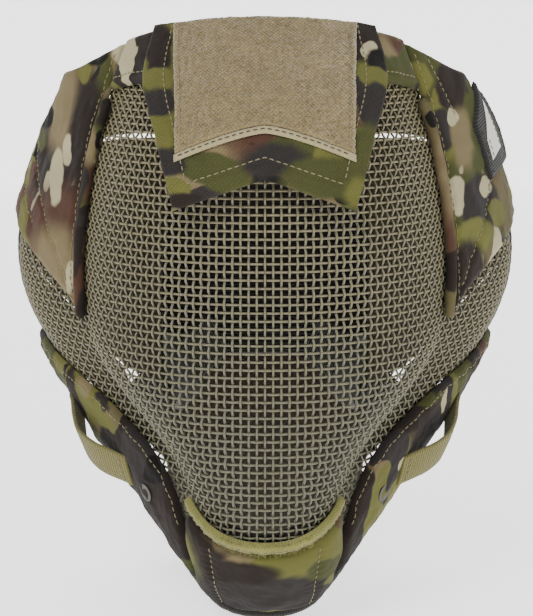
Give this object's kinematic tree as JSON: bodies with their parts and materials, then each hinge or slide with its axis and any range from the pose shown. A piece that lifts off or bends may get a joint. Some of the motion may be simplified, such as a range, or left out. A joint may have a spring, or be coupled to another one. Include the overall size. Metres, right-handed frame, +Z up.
{
  "type": "face mask",
  "caption": "Full face mask of pressed woven wire mesh with padded camouflage covers, a lifting forehead flap and a rear head harness.",
  "frame": {"origin": "middle of the head opening, level with the rear edges of the ear wings", "axes": "+Z up as worn; the mask faces -Y and the head goes in from +Y; +X is the wearer's left"},
  "size_m": [0.2372, 0.1711, 0.2627],
  "materials": {
    "mesh": "powder coat",
    "black_edging": "woven tape",
    "camo_fabric": "printed camouflage",
    "camo_piping": "printed camouflage, rolled edge",
    "chin_edging": "folded fabric edge",
    "dark_foam": "fabric-faced foam",
    "khaki_foam": "fabric-faced foam",
    "olive_webbing": "webbing",
    "dark_metal": "blackened",
    "black_webbing": "webbing",
    "hook_tape": "hook tape",
    "black_plastic": "moulded",
    "dark_lining": "plain weave",
    "flap_fabric": "printed camouflage, coarse weave",
    "loop_pile": "fuzzy loop pile",
    "tan_edging": "binding tape",
    "label": "plain pale label",
    "crown_fabric": "elastic webbing",
    "black_loop": "loop pile"
  },
  "bodies": {
    "mask": {"brow_cover": "camo_fabric", "brow_foam": "dark_foam", "chin_cover": "camo_fabric", "chin_foam": "dark_foam", "chin_top_edging": "chin_edging", "face_mesh": "mesh", "left_cheek_foam": "khaki_foam", "left_ear_rim": "black_edging", "left_jaw_cover": "camo_fabric", "left_jaw_loop": "olive_webbing", "left_loop_grommet": "dark_metal", "left_temple_cover": "camo_fabric", "left_temple_foam": "khaki_foam", "left_temple_piping": "camo_piping", "lower_edging": "black_edging", "right_cheek_foam": "khaki_foam", "right_ear_rim": "black_edging", "right_jaw_cover": "camo_fabric", "right_jaw_loop": "olive_webbing", "right_loop_grommet": "dark_metal", "right_temple_cover": "camo_fabric", "right_temple_foam": "khaki_foam", "right_temple_piping": "camo_piping", "side_tab": "black_webbing", "side_tab_label": "label"},
    "flap": {"forehead_flap": "flap_fabric", "flap_lining": "dark_lining", "flap_loop_panel": "loop_pile", "loop_panel_edging": "tan_edging"},
    "harness": {"crown_strap": "crown_fabric", "back_pad": "khaki_foam", "back_pad_loop_field": "black_loop"},
    "left_strap": {"left_lower_strap": "black_webbing", "left_strap_hook_end": "hook_tape"},
    "right_strap": {"right_lower_strap": "black_webbing", "right_strap_hook_end": "hook_tape"},
    "left_slider": {"left_slider": "black_plastic"},
    "right_slider": {"right_slider": "black_plastic"}
  },
  "joints": [
    {"name": "flap_lift", "type": "hinge", "parent": "mask", "child": "flap", "pos_m": [0, -0.087, 0.13], "axis": [-1, 0, 0], "range_deg": [0, 75]},
    {"name": "harness_lift", "type": "hinge", "parent": "mask", "child": "harness", "pos_m": [0, -0.084, 0.119], "axis": [1, 0, 0], "range_deg": [0, 55]},
    {"name": "left_strap_swing", "type": "hinge", "parent": "harness", "child": "left_strap", "pos_m": [0.022, -0.004, -0.02], "axis": [0, 0, 1], "range_deg": [-30, 0]},
    {"name": "right_strap_swing", "type": "hinge", "parent": "harness", "child": "right_strap", "pos_m": [-0.022, -0.004, -0.02], "axis": [0, 0, 1], "range_deg": [0, 30]},
    {"name": "left_slider_move", "type": "slide", "parent": "left_strap", "child": "left_slider", "axis": [0.6146, -0.6146, -0.4944], "range_m": [-0.01, 0.01]},
    {"name": "right_slider_move", "type": "slide", "parent": "right_strap", "child": "right_slider", "axis": [-0.6146, -0.6146, -0.4944], "range_m": [-0.01, 0.01]}
  ]
}
